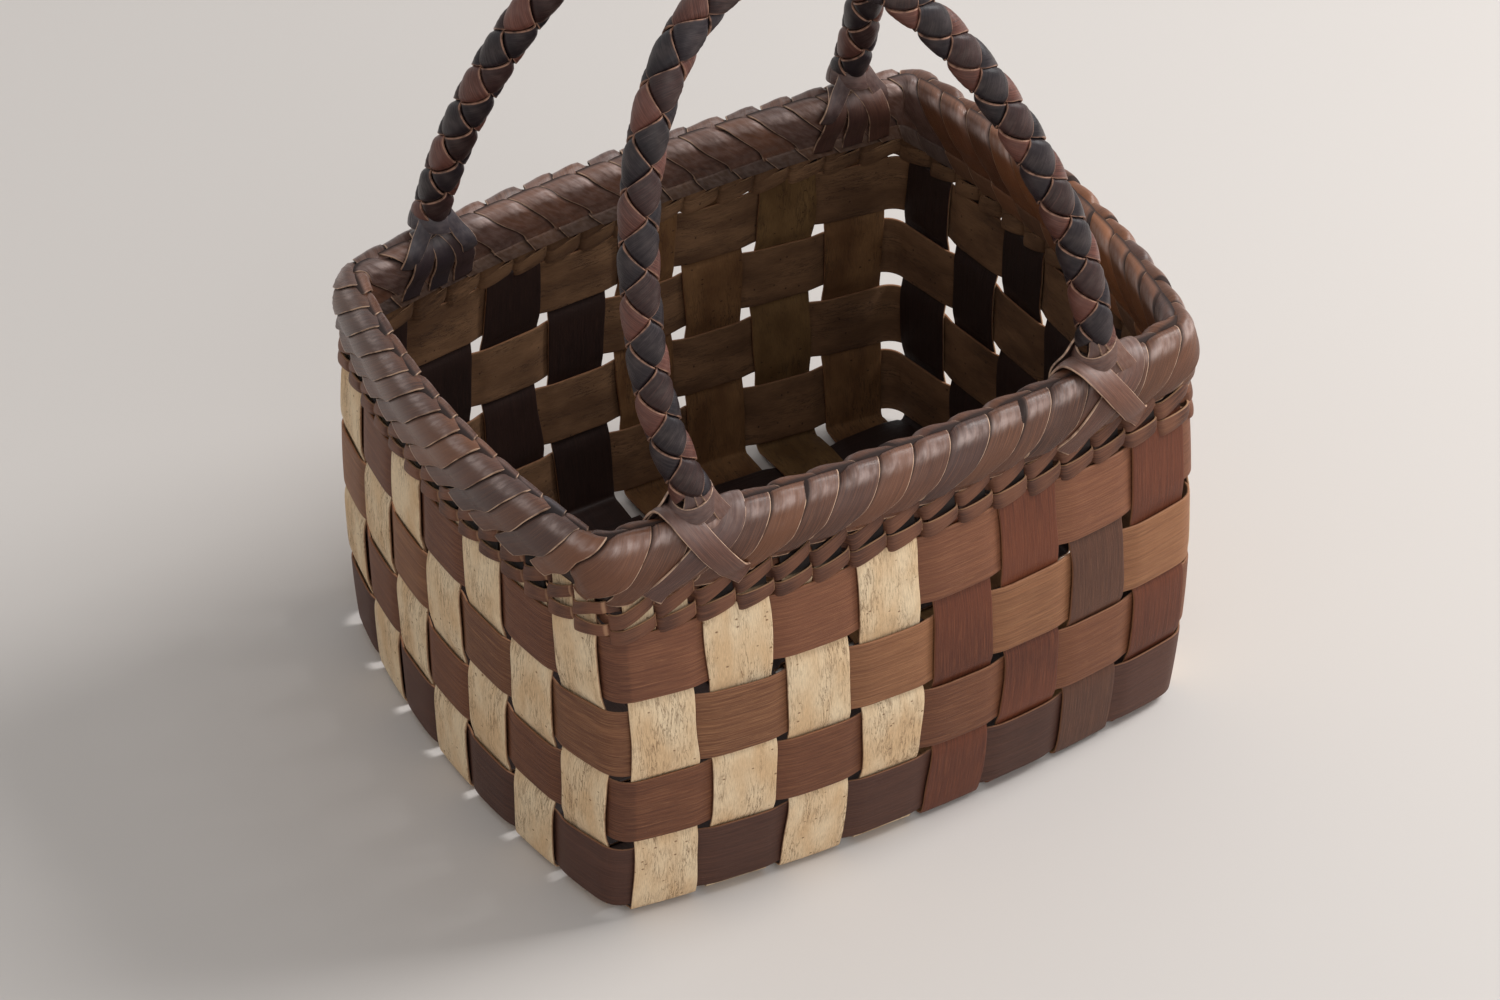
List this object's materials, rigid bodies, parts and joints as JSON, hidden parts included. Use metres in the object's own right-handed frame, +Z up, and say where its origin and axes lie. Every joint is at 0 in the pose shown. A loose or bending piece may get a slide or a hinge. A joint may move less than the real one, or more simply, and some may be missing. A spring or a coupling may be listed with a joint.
{
  "type": "basket bag",
  "caption": "Rectangular basket bag plaited from bark strips, with a rolled rim of folded straps and arched braided handles that lean.",
  "frame": {"origin": "middle of the base, on the surface that the bag stands on", "axes": "+Z up; +X along the long walls, towards the right when the near wall is in front; +Y from the near wall to the far wall"},
  "size_m": [0.236, 0.1974, 0.3072],
  "materials": {
    "cream_bark": "rough outer bark, cream with fine dark fissures",
    "red_bark": "smooth inner bark, reddish brown",
    "brown_bark": "smooth inner bark, brown",
    "dark_bark": "smooth inner bark, chocolate",
    "strap_bark": "supple bark strap with a satin sheen",
    "braid_bark": "polished dark bark strap"
  },
  "bodies": {
    "basket": {"cross_strip_1": "cream_bark", "cross_strip_2": "cream_bark", "cross_strip_3": "cream_bark", "cross_strip_4": "cream_bark", "cross_strip_5": "red_bark", "cross_strip_6": "red_bark", "cross_strip_7": "brown_bark", "cross_strip_8": "red_bark", "length_strip_1": "cream_bark", "length_strip_2": "cream_bark", "length_strip_3": "cream_bark", "length_strip_4": "cream_bark", "length_strip_5": "cream_bark", "length_strip_6": "cream_bark", "length_strip_7": "cream_bark", "wall_hoop_1": "dark_bark", "wall_hoop_2": "brown_bark", "wall_hoop_3": "brown_bark", "wall_hoop_4": "brown_bark", "twine_row_1_strand_1": "brown_bark", "twine_row_1_strand_2": "brown_bark", "twine_row_2_strand_1": "brown_bark", "twine_row_2_strand_2": "brown_bark", "rim_border": "strap_bark", "near_left_lash_under": "strap_bark", "near_left_lash_over": "strap_bark", "near_right_lash_under": "strap_bark", "near_right_lash_over": "strap_bark", "far_left_lash_under": "strap_bark", "far_left_lash_over": "strap_bark", "far_right_lash_under": "strap_bark", "far_right_lash_over": "strap_bark", "near_left_collar": "strap_bark", "near_right_collar": "strap_bark", "far_left_collar": "strap_bark", "far_right_collar": "strap_bark"},
    "near_handle": {"near_handle_braid": "braid_bark"},
    "far_handle": {"far_handle_braid": "braid_bark"}
  },
  "joints": [
    {"name": "near_handle_lean", "type": "hinge", "parent": "basket", "child": "near_handle", "pos_m": [0, -0.08048, 0.1522], "axis": [-1, 0, 0], "range_deg": [-38, 16]},
    {"name": "far_handle_lean", "type": "hinge", "parent": "basket", "child": "far_handle", "pos_m": [0, 0.0803, 0.1522], "axis": [1, 0, 0], "range_deg": [-46, 8]}
  ]
}
